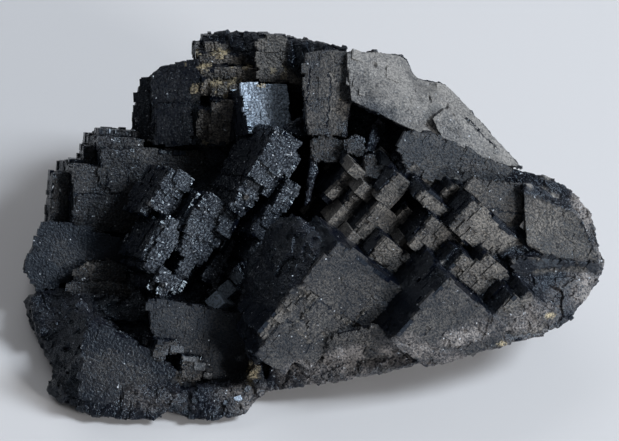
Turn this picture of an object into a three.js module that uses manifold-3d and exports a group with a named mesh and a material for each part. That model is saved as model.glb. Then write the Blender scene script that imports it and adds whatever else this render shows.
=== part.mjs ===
// Black fluorite cluster: cubic crystals grown into one another, broken off its bed along the front and right.
// Millimetres, +Z up, resting on Z = 0. The crystals are placed in the growth frame: +X to the right, +Y up the
// growth front and +Z out of it; the growth direction then leans forward from upright by LEAN.
import * as THREE from 'three';
import { ConvexGeometry } from 'three/addons/geometries/ConvexGeometry.js';
import { mergeVertices } from 'three/addons/utils/BufferGeometryUtils.js';
import Module from 'manifold-3d';

const LEAN = 48; // degrees from upright to the growth direction
const MISFIT = 0.7; // degrees each crystal block is off its neighbours
const SHIFT = 0.12; // mm each block is out of line with its neighbours

// Each crystal: where its frame sits, how that frame is turned (degrees), leant and nodded, and its terraces as
// [x0, x1, y0, y1, top, depth] in its own frame, top being the level of the flat face.
const CRYSTALS = {
  checkerboard: {
    at: [24, -2.5, 42], turn: -39, lean: 30, nod: 8,
    terraces: [
      [-3.5, 2.5, -3.5, 4, 0, 14],
      [-2, 7.5, 2, 4, 0, 12],
      [2.5, 3.5, -2.5, 2.5, 4.3, 14],
      [3.5, 8, -2, 3, 6.2, 14],
      [7.5, 15, -1.5, 5.5, 6.7, 14],
      [-0.5, 14.5, 4.5, 12, 2, 14],
      [-8, 0, 4, 7, -2.3, 12],
      [-2.5, -0.5, 6.5, 11, -4.9, 12],
      [-9.5, -2.5, 5.5, 9, -9.7, 10],
      [-12, -7.5, -0.5, 5.5, -8, 12],
      [-10.5, -3, -6.5, -1.5, -7.2, 12],
      [-5.5, -3.5, -2, 1.5, -7.2, 10],
      [-10.5, -7, -14, -6.5, -7.2, 12],
      [-3.5, -1, -6, -2.5, -3.1, 12],
      [-7.5, -0.5, -11.5, -5.5, -0.9, 14],
      [-13.5, -10.5, -7.5, -1.5, -12.2, 10],
      [-13.5, -10, -16, -8, -12.2, 10],
      [-10.5, -8, -14.5, -11, -10.5, 10],
      [-16, -13.5, -9, -2, -15.6, 8],
      [-17.5, -11, -1.5, 0.5, -13.5, 10],
      [-12.5, -8.5, -2.5, -0.5, -11, 10],
      [-14, -10.5, 0, 2.5, -14, 10],
      [-0.5, 18.5, -19, -2, 15, 22],
      [13.5, 24.5, -2.5, 3.5, 14.4, 18],
      [15.5, 25.5, 3.5, 6.5, 14.8, 18],
    ],
  },
  front: {
    at: [5.5, -14.5, 49], turn: -36, lean: 30, nod: 8,
    terraces: [
      [-9, 9.5, -2.5, 9.5, 0, 14],
      [5.5, 9.8, -1.5, 5, 0.4, 13],
      [-7, -4, -9.5, -2, -0.4, 13],
      [-4.5, 1, -10, -2, 0.25, 13],
      [1, 6.5, -7, -1.5, -0.2, 13],
      [1, 5.5, -15.5, -7, -0.5, 13],
      [-9.5, -7, -15, -2.5, -0.7, 13],
      [-7, 1.5, -19, -10, -0.1, 13],
    ],
  },
  left: {
    at: [-34, 8, 17], turn: -2, lean: 18, nod: 5,
    terraces: [
      [-16.5, 0, -9, 4.5, 0, 16],
      [-11, 11.5, 0, 8.5, 0.6, 16],
      [-11.5, -1.5, 7.5, 10.5, -0.8, 14],
      [-20, -16.5, -9, 2.5, -4.5, 4.6],
      [-16, -12, 2, 5.5, -4.5, 5],
      [-13.5, -9, 5, 8.5, -5, 5],
      [-10.5, -2, 10, 12, -5, 5],
    ],
  },
  tower: {
    at: [-29.5, 26, 18], turn: 0, lean: -14, nod: 4,
    terraces: [
      [-3.5, 4.5, -8.5, 0, 1.2, 16],
      [-10.5, -8.5, -8, -1.5, -5, 10],
    ],
  },
  ledges: {
    at: [-19, 29, 21], turn: 0, lean: 8, nod: 20,
    terraces: [
      [-2.8, 7.5, 5, 7.2, -9, 8],
      [-4.5, 9, 3, 5.5, -6, 12],
      [-4, 8.5, 0.5, 3.5, -3, 12],
      [-2, 3, -3, 1, 0, 12],
      [-4, -2, -2, 1.5, -1.5, 12],
      [-2, 3, -11.5, -2, 2.5, 14],
      [-4.5, -1.5, -12, -4, 1.2, 14],
      [7.5, 10, 0.5, 8, -6.5, 10],
    ],
  },
  mirror: {
    at: [-9, 25.5, 25], turn: 2, lean: 26, nod: -12,
    terraces: [
      [-5.5, 5, -5.5, 4.5, 0, 14],
    ],
  },
  shingles: {
    at: [-20, 0.5, 33], turn: -33, lean: 24, nod: -10,
    terraces: [
      [-1.5, 5, 15, 23, 7, 16],
      [3, 6.5, 16, 21, 6.7, 14],
      [-1.5, 3.5, 11.5, 15, 6.4, 15],
      [3.5, 5.5, 12.5, 15, 6.1, 12],
      [3.5, 5, 10, 12.5, 5.6, 12],
      [-1, 3.5, 8, 11.5, 4.6, 14],
      [-0.5, 3.5, 6, 8.5, 4.2, 14],
      [-0.5, 3, 4, 6.5, 3.8, 14],
      [-5.5, 2, 1.5, 5, 1, 14],
      [0, 3.5, -1, 5.5, 1.8, 14],
      [-5.5, 3, -4, 2, 0.6, 14],
      [-4.5, 2, -8.5, -3.5, 0.2, 14],
      [-2.5, 0.5, -12.5, -8, -0.1, 14],
      [-6.5, -4.5, -4.5, 4.5, -0.6, 13],
      [-8.5, -5, -15, -5.5, -0.9, 13],
      [-10, -8, -13.5, -4.5, -1.8, 12],
      [-9.5, -6, -5.5, -3, -1.4, 12],
      [-5.5, 0.5, -16, -13, 0.2, 12],
      [-4, -1.5, -18, -16, -0.2, 11],
      [-5.5, -4.5, -18, -15.5, -1.6, 10],
      [-9.5, -6, -18.5, -16, -2.6, 10],
      [-12.5, -7.5, 1.5, 6, -5, 12],
      [-12.5, -7, -3, 2, -5.6, 12],
      [-11, -7, 4, 6.5, -4.4, 11],
      [-13, -11, -5, 1, -7, 9],
      [5.5, 9, 8.5, 15, 8.5, 14],
      [5, 8.5, 5, 8.5, 8.1, 14],
      [4.5, 8, 1.5, 5.5, 7.6, 14],
      [7, 10, -3, 2, 5.4, 10],
      [4, 7.5, -10.5, -4.5, -1.5, 10],
      [5, 7, -5, 0, -2.2, 9],
      [7, 11, -15, -10, -1.3, 9],
      [9, 13, -10, -5, -2.2, 9],
      [6, 9, 0.5, 3, -3, 8],
    ],
  },
  buds: {
    at: [-24.5, -28.5, 42], turn: -8, lean: 18, nod: 6,
    terraces: [
      [-2, 2.5, -1.5, 2.5, 0, 8],
      [-2, 2, -4.5, -1.5, -0.6, 8],
      [-8, -6, 1, 5, 0.5, 8],
      [-6, -3, 2.5, 5, -1.2, 8],
    ],
  },
  rearLeft: {
    at: [-30, 22, 0], turn: -12, lean: -12, nod: -122,
    terraces: [
      [-16, -9, -3, 7, -7.4, 8],
      [-11, -4, 2, 11, -4.2, 8],
      [-6, 4, -2, 11, 3.6, 10],
      [2, 11, -7, 6, 9.4, 10],
      [3, 10, 5, 15, 7.2, 10],
      [8, 16, 1, 9, 9.6, 8],
      [10, 19, -5, 4, 11.4, 10],
      [14, 24, 6, 14, 9.6, 10],
      [18, 27, -8, 3, 12.8, 12],
      [25, 33, 2, 12, 11.6, 10],
    ],
  },
  rearRight: {
    at: [25, 15, 0], turn: -14, lean: -36, nod: -116,
    terraces: [
      [-26, -15, -8, 4, -2.6, 8],
      [-18, -6, -12, -2, 0.4, 10],
      [-14, -4, -4, 6, -1.6, 8],
      [-6, 4, -9, 1, 1.6, 10],
      [2, 12, -12, -3, 5.4, 10],
      [0, 9, -4, 5, -0.2, 8],
      [9, 19, -8, 1, 3.8, 10],
      [10, 20, -1, 6, -1.4, 8],
      [18, 26, -8, 0, 1.8, 8],
      [4, 12, 2, 7, -2.6, 6],
      [-10, -1, 3, 8, -3, 6],
    ],
  },
  rearFlank: {
    at: [45, -5, 20], turn: -30, lean: -62, nod: -112,
    terraces: [
      [-18, -8, -9, -1, 4.4, 10],
      [-8, 1, -10, -3, 8.4, 10],
      [-12, -3, -4, 2, 5.6, 8],
      [1, 9, -7, 0, 10.6, 10],
      [-5, 4, -2, 4, 6, 8],
    ],
  },
};

// Flat-faced lumps: a face through the point at, falling away by slope per mm in x and y, its outline in x and y,
// how deep the lump goes behind it and how much wider it is at the back. All in the growth frame.
const FACED = {
  corner: {
    at: [-49, -4.5, 24], slope: [-0.21, 0.1], depth: 18, spread: 1,
    outline: [[-55.5, 1], [-53, 1], [-49, 0.5], [-43.5, -1.5], [-39, -3], [-38.5, -6.5], [-40.5, -8], [-50.5, -10],
      [-57, -13], [-60, -8.5]],
  },
  apron: {
    at: [-22.5, -22.5, 39], slope: [-0.26, 0.1], depth: 14, spread: 1,
    outline: [[-33, -14.5], [-22.5, -16], [-14.5, -18], [-13, -24], [-13.5, -29], [-15.5, -32], [-19.5, -31], [-26, -24],
      [-32.5, -21]],
  },
  foot: {
    at: [-38.5, -29.5, 45], slope: [-0.14, 0.12], depth: 16, spread: 1.05,
    outline: [[-44, -18.5], [-39, -23], [-32.5, -25], [-27, -29], [-29, -34], [-34, -36.5], [-41.5, -36.5], [-46, -34],
      [-46.5, -28.5], [-46, -23.5]],
  },
  backRight: {
    at: [24, 20, 32], slope: [-0.64, -0.79], depth: 20, spread: 1,
    outline: [[8, 35], [7, 36], [13, 36.5], [17.5, 36], [20, 35.5], [22.5, 32], [25, 30], [29, 29], [32, 24.5], [35, 21.5],
      [39, 17], [43.5, 12.5], [34, 13.5], [24, 20], [17, 22.5], [12, 25], [8, 26]],
  },
  backRightStep: {
    at: [29.5, 20, 30.5], slope: [-0.62, -0.37], depth: 12, spread: 1,
    outline: [[24.5, 22.5], [28, 25], [30, 24], [32, 21.5], [39, 16], [43, 12.5], [34, 13.5], [26, 19.5]],
  },
  backMiddle: {
    at: [3.5, 27.5, 31], slope: [-0.16, -0.26], depth: 16, spread: 1,
    outline: [[-1.5, 36], [1, 36.5], [7, 36.5], [8, 34.5], [8, 25.5], [7, 19], [-1, 19], [-1.5, 26]],
  },
  crown: {
    at: [30, 15, 36], slope: [-0.35, 0.13], depth: 14, spread: 1,
    outline: [[17.5, 15.5], [19, 19], [24, 19.5], [34, 13], [42.5, 11], [44, 9], [39.5, 8.5], [32, 8], [24, 10], [19, 11.5]],
  },
  towerFace: {
    at: [-29.5, 26, 18], slope: [0.26, 0.05], depth: 20, spread: 1,
    outline: [[-34, 32], [-32, 34], [-28.5, 34.5], [-25.5, 34.5], [-23.5, 35], [-23.5, 17.5], [-33.5, 17.5]],
  },
  towerSide: {
    at: [-35.5, 25, 13.5], slope: [0.32, 0.05], depth: 14, spread: 1,
    outline: [[-37.5, 25.5], [-37, 29.5], [-35.5, 31.5], [-33.5, 32.5], [-33.5, 18], [-36.5, 18]],
  },
  crest: {
    at: [-5.5, 35, 20], slope: [-0.21, -0.1], depth: 12, spread: 1,
    outline: [[-11.5, 39.5], [-9, 40], [-2.5, 39.5], [-1.5, 37], [-2, 30.5], [-9, 30.5], [-11.5, 31.5]],
  },
  rightTop: {
    at: [38, 5.5, 39.5], slope: [-0.36, 0.4], depth: 16, spread: 1,
    outline: [[31, 9.5], [38, 9], [43.5, 9], [44, -2.5], [38.5, -6], [34.5, 0.5], [32, 4.5]],
  },
  rightProud: {
    at: [50, 0.5, 39.5], slope: [-0.39, 0.28], depth: 18, spread: 1,
    outline: [[42.5, 9], [44.5, 9], [50.5, 5], [54.5, 3], [56.5, -2.5], [59, -7], [50.5, -7], [43.5, -3.5]],
  },
  rightLow: {
    at: [50.5, -9.5, 37], slope: [-0.36, 0.71], depth: 18, spread: 1,
    outline: [[39.5, -5.5], [50, -7], [59, -7], [59.5, -10.5], [56, -13.5], [50, -15.5], [44, -13]],
  },
  rimLump: {
    at: [10.5, -24.5, 45.5], slope: [0, 0.66], depth: 12, spread: 1,
    outline: [[3, -23], [5.5, -21], [8.5, -20.5], [13, -19.5], [16, -21], [18.5, -23], [18, -27.5], [7.5, -30], [1, -31.5],
      [2, -26.5]],
  },
  chipLeft: {
    at: [-2.5, 20.5, 29], slope: [-0.22, -0.44], depth: 10, spread: 1,
    outline: [[-5.5, 21], [-2.5, 22.5], [0, 21.5], [0, 20], [-2.5, 18.5], [-5.5, 19.5]],
  },
  pitBlock: {
    at: [3.5, 16.5, 33], slope: [-0.15, -0.21], depth: 12, spread: 1,
    outline: [[0, 18], [2, 19], [6.5, 18], [7, 15.5], [5.5, 14], [0.5, 13.5]],
  },
  chipHigh: {
    at: [9, 17, 34.5], slope: [-0.21, -0.1], depth: 12, spread: 1,
    outline: [[7, 18], [9, 19], [10.5, 18], [10.5, 15.5], [9, 15], [7.5, 15.5]],
  },
  chipMid: {
    at: [12, 13.5, 37], slope: [-0.38, -0.22], depth: 12, spread: 1,
    outline: [[11, 14.5], [12.5, 15], [13, 14], [13, 12], [11, 12]],
  },
  chipLow: {
    at: [13, 11.5, 37.5], slope: [-0.11, -0.38], depth: 12, spread: 1,
    outline: [[11, 12], [14, 12.5], [14.5, 11], [13.5, 10], [11, 10.5]],
  },
  splinter: {
    at: [13.5, 20, 31], slope: [-1.14, -0.15], depth: 12, spread: 1,
    outline: [[16, 24], [17, 23.5], [14, 20.5], [12.5, 15.5], [11, 15.5], [12, 20], [14, 23]],
  },
  pitWall: {
    at: [16.5, 18, 27], slope: [-0.51, -0.11], depth: 10, spread: 1,
    outline: [[13, 20.5], [16.5, 22.5], [20, 21], [20.5, 18.5], [18.5, 15.5], [19, 12], [15, 12], [13, 14]],
  },
  needle: {
    at: [0, 11, 34], slope: [-0.75, -0.12], depth: 14, spread: 1,
    outline: [[0, 16], [1, 15.5], [1, 11.5], [-0.5, 5.5], [-1.5, 4.5], [-0.5, 11.5]],
  },
  cornerStep: {
    at: [-44, -10, 25], slope: [-0.2, 0], depth: 10, spread: 1,
    outline: [[-49.5, -9], [-47, -7.5], [-42, -7], [-38.5, -8.5], [-39, -11], [-43, -12], [-48, -11.5]],
  },
  cornerFoot: {
    at: [-46.5, -12.5, 27.5], slope: [-0.21, -0.1], depth: 10, spread: 1,
    outline: [[-50.5, -11.5], [-47, -11.5], [-43, -12.5], [-39.5, -11.5], [-37.5, -13.5], [-41.5, -14.5], [-48, -14],
      [-50.5, -13]],
  },
  shelfTop: {
    at: [-48, -15, 26.5], slope: [-0.06, -0.58], depth: 8, spread: 1,
    outline: [[-58.5, -14], [-52, -13.5], [-44, -14.5], [-33.5, -16.5], [-34, -18], [-44, -16.5], [-53, -15.5],
      [-58, -15.5]],
  },
  shelfMiddle: {
    at: [-47.5, -17, 29.5], slope: [-0.06, -0.44], depth: 8, spread: 1,
    outline: [[-58, -16], [-53, -16], [-43.5, -17], [-34, -18.5], [-36, -20], [-45.5, -18.5], [-54, -17.5],
      [-57.5, -17.5]],
  },
  shelfLow: {
    at: [-52, -19.5, 31.5], slope: [0.11, -0.44], depth: 8, spread: 1,
    outline: [[-57.5, -17.5], [-53.5, -18], [-47, -19], [-47.5, -20], [-52.5, -21], [-56.5, -22]],
  },
};

// The broken edge along the front and right, seen along the growth direction.
const RIM = [
  [47.5, 11, 33], [52, 9, 33], [55, 6, 33], [57.5, 3, 33], [58.5, -1.5, 33.5], [59.5, -7.5, 33], [58.5, -11, 34],
  [56.5, -13, 35], [54.5, -15.5, 37], [52.5, -18.5, 39], [48, -21, 41.5], [41.5, -22.5, 44], [37.5, -24, 45],
  [27.5, -25.5, 46], [17.5, -28, 46], [7.5, -30, 44.5], [-2.5, -32, 42.5], [-10, -33.5, 41.5],
];

// Rough lumps under and between the crystals, as convex bodies through points of the growth frame.
const LUMPS = {
  rightMass: [
    ...RIM, [0, 0, 26], [5, 12, 22], [18, 16, 26], [32.5, 14, 29], [-8, -27, 42], [-7, -16, 34],
    [20, -21.5, 23.5], [34, -12, 13.5], [28, 3, -3.5], [-5, -30, 33], [-5, 0, 0],
  ],
  shoulder: [
    [7, -5.5, 52], [1, -6.5, 53.5], [-2, -11, 53], [-6.5, -15.5, 52.5], [-10.5, -23, 50], [-11, -26.5, 47.5],
    [-3, 2.5, 47], [1.5, -1, 49], [-7.5, 2, 42], [-13.5, -7, 38], [-14.5, -14.5, 37], [-13.5, -23.5, 39],
    [-12.5, -28, 41], [1.5, -2.5, 35], [-2.5, -25, 36],
  ],
  chip: [
    [-13, -30, 43], [-11, -27, 45], [-10, -27.5, 45.5], [-9.5, -32, 43], [-11, -32.5, 42], [-10, -29, 36],
  ],
  backMass: [
    [-2.5, 39, 17], [8, 36, 22], [22, 31, 20], [34, 20, 22], [42, 12, 25], [24, 14, 28], [5, 16, 24],
    [10, 10.5, -12], [28, 3, -3.5], [-10, 12, -13],
  ],
  ridge: [
    [-24, 40, 12], [-21, 41.5, 13], [-17, 40.5, 12.5], [-14, 41.5, 15], [-12, 41, 15], [-8, 41, 16], [-2.5, 40, 18],
    [1.5, 38.5, 21], [7, 37.5, 25], [8, 35, 26], [-24, 35, 12], [-12, 35, 17], [-2, 34, 22],
    [8, 12, 8], [-20, 14, 2],
  ],
  backLeft: [
    [-2.5, 36, 14], [-22, 36, 8], [-36, 24, 8], [-38, 18, 8], [-55, 6, 6], [-56, 0, 10], [-20, 12, 12], [-5, 14, 14],
    [10, 10.5, -12], [-25, 13.5, -15], [-50, 3.5, -4], [-58, -13.5, 15],
  ],
  pitFloor: [
    [-50, -12, 16], [-50, 5, 8], [-30, 14, 9], [-8, 14, 20], [-3, 0, 24], [-8, -16, 26], [-12, -26, 32],
    [-26, -28, 34], [-40, -22, 30], [-30, -30, 33], [-50, -10, 5], [-20, 5, -4], [-10, -20, 20],
  ],
  cheek: [
    [-60.5, -15.5, 20], [-59, -14, 22], [-49, -13, 27], [-44.5, -18, 38], [-46, -23.5, 41], [-46.5, -29, 43],
    [-52.5, -29.5, 37], [-55, -25, 30], [-59.5, -19, 23], [-45, -20, 20], [-52, -12, 14],
  ],
  shelf: [
    [-58.5, -13.5, 25], [-49, -13, 28], [-39.5, -14.5, 29], [-33.5, -16.5, 30], [-33.5, -19.5, 31], [-41.5, -19, 31],
    [-52, -17.5, 29], [-59, -17, 24], [-50, -12, 14], [-36, -16, 18],
  ],
  footRim: [
    [-54, -33, 39], [-52.5, -29.5, 38], [-51, -35, 41.5], [-48, -36, 43], [-44.5, -37.5, 44.5], [-39.5, -38.5, 45],
    [-31.5, -38.5, 45], [-28.5, -36.5, 45], [-25, -34, 44], [-46, -25, 44], [-30, -27, 42], [-50, -28, 30],
    [-38, -34, 34], [-26, -32, 36],
  ],
  toe: [
    [-29.5, -36, 44.5], [-25.5, -38, 44.5], [-22.5, -38.5, 45], [-17.5, -38.5, 45], [-13.5, -37.5, 44.5],
    [-11.5, -34.5, 43], [-10, -33, 42.5], [-11, -31.5, 42], [-19.5, -31.5, 43.5], [-24.5, -32, 43.5], [-28, -33.5, 44],
    [-26, -32, 34], [-10, -30, 34],
  ],
  base: [
    [-56, -14, 16], [-54, -12, 20], [-53, -30, 35], [-50, -26, 36], [-42, -37, 42], [-42, -32, 41],
    [-18, -36, 39], [-18, -32, 36], [-5, -30, 33], [-5, -26, 34], [20, -21.5, 23.5], [34, -12, 13.5],
    [28, 3, -3.5], [10, 10.5, -12], [-25, 13.5, -15], [-50, 3.5, -4],
  ],
};

// The break that trims the crystals: a convex hull whose front and right sides are the broken rim.
const BREAK = [
  ...RIM, [-10, -26.5, 49], [-2.5, -26.5, 48], [8, -21.5, 49.5], [17.5, -20.5, 52], [27.5, -19, 51], [37.5, -17.5, 49],
  [45.5, -14.5, 45], [53, -10, 41.5], [55.5, -4.5, 40], [54, 1, 39.5], [50, 5, 39.5], [43, 9.5, 39], [20, -4, 67],
  [-5, 2, 60], [5, 5, 66], [20, -21.5, 23.5], [34, -12, 13.5], [28, 3, -3.5], [10, 10.5, -12], [-11.5, -34.5, 41],
  [-18, -39, 43.5], [-70, -45, 50], [-75, -40, 60], [-75, 60, 20], [-20, 60, 30], [25, 50, 30], [-75, 20, -22],
  [-25, 30, -22],
];

const wasm = await Module();
wasm.setup();

const radians = THREE.MathUtils.degToRad;

let seed = 7;
function random() {
  seed = (seed * 16807) % 2147483647;
  return seed / 2147483647 - 0.5;
}

// A closed three.js geometry as a manifold-3d solid, for joining and cutting.
function solid(geometry) {
  geometry.deleteAttribute('normal');
  geometry.deleteAttribute('uv');
  const merged = mergeVertices(geometry, 1e-4);
  return new wasm.Manifold(new wasm.Mesh({
    numProp: 3,
    vertProperties: merged.attributes.position.array,
    triVerts: new Uint32Array(merged.index.array),
  }));
}

function hull(points) {
  return solid(new ConvexGeometry(points.map((p) => new THREE.Vector3(...p))));
}

// A flat-faced lump: its face, and the same outline further back and wider.
function faced({ at, slope, depth, spread, outline }) {
  const middleX = outline.reduce((sum, p) => sum + p[0], 0) / outline.length;
  const middleY = outline.reduce((sum, p) => sum + p[1], 0) / outline.length;
  const face = outline.map(([x, y]) => [x, y, at[2] + slope[0] * (x - at[0]) + slope[1] * (y - at[1])]);
  const back = face.map(([x, y, z]) => [middleX + (x - middleX) * spread, middleY + (y - middleY) * spread, z - depth]);
  return hull([...face, ...back]);
}

// One block of a crystal, a little out of true as grown.
function block([x0, x1, y0, y1, top, depth], frame) {
  const geometry = new THREE.BoxGeometry(x1 - x0, y1 - y0, depth);
  const twist = new THREE.Euler(radians(MISFIT) * random(), radians(MISFIT) * random(), radians(MISFIT) * random());
  geometry.applyMatrix4(new THREE.Matrix4().makeRotationFromEuler(twist));
  geometry.translate(
    (x0 + x1) / 2 + SHIFT * random(),
    (y0 + y1) / 2 + SHIFT * random(),
    top - depth / 2 + SHIFT * random(),
  );
  geometry.applyMatrix4(frame);
  return solid(geometry);
}

function crystal({ at, turn, lean, nod, terraces }) {
  const frame = new THREE.Matrix4()
    .makeTranslation(...at)
    .multiply(new THREE.Matrix4().makeRotationZ(radians(turn)))
    .multiply(new THREE.Matrix4().makeRotationY(radians(lean)))
    .multiply(new THREE.Matrix4().makeRotationX(radians(nod)));
  return terraces.map((terrace) => block(terrace, frame));
}

const grown = [
  ...Object.values(CRYSTALS).flatMap(crystal),
  ...Object.values(FACED).map(faced),
  ...Object.values(LUMPS).map(hull),
].reduce((a, b) => a.add(b));
const broken = grown.intersect(hull(BREAK));

// The foot is worn flat where the cluster rests: everything under Z = 0 goes.
const leaning = new THREE.Matrix4().makeRotationX(radians(LEAN));
const under = new THREE.BoxGeometry(300, 300, 100);
under.translate(0, 0, -50);
under.applyMatrix4(leaning.clone().invert());
const pieces = broken.subtract(solid(under)).decompose();
// One body: a pocket closed in between blocks is left solid.
const resting = pieces.reduce((a, b) => (a.volume() > b.volume() ? a : b));

const mesh = resting.getMesh();
const geometry = new THREE.BufferGeometry();
geometry.setAttribute('position', new THREE.BufferAttribute(new Float32Array(mesh.vertProperties), 3));
geometry.setIndex(Array.from(mesh.triVerts));
geometry.applyMatrix4(leaning);
geometry.computeBoundingBox();
const { min, max } = geometry.boundingBox;
geometry.translate(-(min.x + max.x) / 2, -(min.y + max.y) / 2, 0);
geometry.computeVertexNormals();

const cluster = new THREE.Mesh(
  geometry,
  new THREE.MeshStandardMaterial({ color: 0x17161a, roughness: 0.45, metalness: 0 }),
);
cluster.name = 'fluorite_cluster';

const specimen = new THREE.Group();
specimen.name = 'fluorite_specimen';
specimen.add(cluster);

export default specimen;
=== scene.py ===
# Black fluorite hand specimen: cubic crystals grown into one another, lying on a pale table.
import math

import bmesh
import bpy
import numpy as np
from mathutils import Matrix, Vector


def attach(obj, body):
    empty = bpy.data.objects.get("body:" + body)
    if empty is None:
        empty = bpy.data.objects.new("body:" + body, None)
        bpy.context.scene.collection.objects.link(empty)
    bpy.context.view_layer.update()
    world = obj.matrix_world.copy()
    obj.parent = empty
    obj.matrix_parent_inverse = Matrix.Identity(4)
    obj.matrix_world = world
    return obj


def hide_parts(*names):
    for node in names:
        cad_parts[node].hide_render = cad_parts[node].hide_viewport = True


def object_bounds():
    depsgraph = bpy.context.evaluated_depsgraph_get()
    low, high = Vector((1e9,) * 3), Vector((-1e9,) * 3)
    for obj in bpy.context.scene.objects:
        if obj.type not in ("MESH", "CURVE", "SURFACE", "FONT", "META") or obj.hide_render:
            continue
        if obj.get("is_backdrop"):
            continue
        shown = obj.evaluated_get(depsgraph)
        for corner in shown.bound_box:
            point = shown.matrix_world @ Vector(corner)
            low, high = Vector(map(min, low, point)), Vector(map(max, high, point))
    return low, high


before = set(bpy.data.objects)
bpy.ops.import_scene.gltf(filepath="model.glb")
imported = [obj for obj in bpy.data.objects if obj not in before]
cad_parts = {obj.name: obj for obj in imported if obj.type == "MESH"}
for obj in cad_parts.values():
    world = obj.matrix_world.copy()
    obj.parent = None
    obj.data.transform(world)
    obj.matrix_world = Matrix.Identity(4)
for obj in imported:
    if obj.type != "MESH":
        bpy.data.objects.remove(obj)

cadLow, cadHigh = (np.array(corner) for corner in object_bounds())
perMetre = 1000  # mm
print("frame loaded", [round(float(side) * perMetre) for side in cadHigh - cadLow], "mm")

mm = 0.001  # m
growthLean = 48.0  # degrees from upright to the growth direction
growthOrigin = np.array([0.5, 17.39, 0.0])  # where the growth frame's origin sits, in mm


def turnX(angle):
    c, s = math.cos(math.radians(angle)), math.sin(math.radians(angle))
    return np.array([[1, 0, 0], [0, c, -s], [0, s, c]])


def turnY(angle):
    c, s = math.cos(math.radians(angle)), math.sin(math.radians(angle))
    return np.array([[c, 0, s], [0, 1, 0], [-s, 0, c]])


def turnZ(angle):
    c, s = math.cos(math.radians(angle)), math.sin(math.radians(angle))
    return np.array([[c, -s, 0], [s, c, 0], [0, 0, 1]])


def crystalTurn(crystal):
    # From a crystal's own frame to the world: its nod, lean and turn, then the lean of the whole growth.
    return turnX(growthLean) @ turnZ(crystal["turn"]) @ turnY(crystal["lean"]) @ turnX(crystal["nod"])


def toGrowth(points):
    # World points (mm) in the growth frame: across, up and out.
    return (points - growthOrigin) @ turnX(growthLean)


mixStart = 2166136261
mixSeed = 7919
mixFactor = np.uint64(0x9E3779B97F4A7C15)
cellBits = 0xFFFFFFFF
lotBits = 0xFFFFFF


def scatter(*cells, seed=0):
    # A random number from 0 to 1 for each whole-numbered cell: its numbers are mixed by multiply and shift.
    mixed = np.full(cells[0].shape, mixStart + seed * mixSeed, np.uint64)
    for cell in cells:
        mixed = (mixed ^ (cell.astype(np.int64) & cellBits).astype(np.uint64)) * mixFactor
        mixed ^= mixed >> np.uint64(29)
    return ((mixed >> np.uint64(20)) & np.uint64(lotBits)).astype(np.float64) / lotBits


def smoothNoise(points, seed=0):
    # Lattice noise from -1 to 1: the eight corner values of each unit cell, blended by a smooth step on
    # each axis.
    base = np.floor(points)
    part = points - base
    part = part * part * (3 - 2 * part)
    base = base.astype(np.int64)
    total = np.zeros(len(points))
    for corner in np.ndindex(2, 2, 2):
        share = np.ones(len(points))
        for axis in range(3):
            share *= part[:, axis] if corner[axis] else 1 - part[:, axis]
        total += share * scatter(*(base[:, axis] + corner[axis] for axis in range(3)), seed=seed)
    return total * 2 - 1


def layeredNoise(points, octaves=3, seed=0):
    # Noise summed over octaves, each twice as fine and half as strong.
    total = np.zeros(len(points))
    for octave in range(octaves):
        total += smoothNoise(points * 2 ** octave, seed + octave) / 2 ** octave
    return total / (2 - 2.0 ** (1 - octaves))


farAway = 9.0  # farther than any cell centre that is tried


def squareCells(u, v, seed=0, wander=0.8, tilt=0.5):
    # Crystal mosaic: each point goes to the nearest of the jittered cell centres, nearest by the larger of
    # the two coordinate differences, which makes squarish cells. Gives the cell's plane, a height from -0.5
    # to 0.5 with a tilt of its own, and the gap to the next cell.
    baseU, baseV = np.floor(u).astype(np.int64), np.floor(v).astype(np.int64)
    nearest = np.full(u.shape, farAway)
    second = np.full(u.shape, farAway)
    plane = np.zeros(u.shape)
    for stepU in (-1, 0, 1):
        for stepV in (-1, 0, 1):
            cellU, cellV = baseU + stepU, baseV + stepV
            offU = u - cellU - 0.5 - wander * (scatter(cellU, cellV, seed=seed) - 0.5)
            offV = v - cellV - 0.5 - wander * (scatter(cellU, cellV, seed=seed + 1) - 0.5)
            far = np.maximum(abs(offU), abs(offV))
            closer = far < nearest
            second = np.where(closer, nearest, np.minimum(second, far))
            tilted = (scatter(cellU, cellV, seed=seed + 2) - 0.5
                      + tilt * offU * (scatter(cellU, cellV, seed=seed + 3) - 0.5)
                      + tilt * offV * (scatter(cellU, cellV, seed=seed + 4) - 0.5))
            plane = np.where(closer, tilted, plane)
            nearest = np.where(closer, far, nearest)
    return plane, second - nearest


def brokenFacets(points, size, seed=0, wander=0.8, tilt=1.6):
    # Angular fracture: each point takes the plane of its nearest jittered cell centre in space, a height
    # from -0.5 to 0.5 and a tilt that both belong to that cell.
    scaled = points / size
    base = np.floor(scaled).astype(np.int64)
    nearest = np.full(len(points), farAway)
    plane = np.zeros(len(points))
    for step in np.ndindex(3, 3, 3):
        cell = (base + np.array(step) - 1).T
        lots = [scatter(*cell, seed=seed + k) - 0.5 for k in range(7)]
        off = scaled - cell.T - 0.5 - wander * np.stack(lots[:3], 1)
        far = (off ** 2).sum(1)
        closer = far < nearest
        plane = np.where(closer, lots[6] + tilt * (off * np.stack(lots[3:6], 1)).sum(1), plane)
        nearest = np.where(closer, far, nearest)
    return plane


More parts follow.
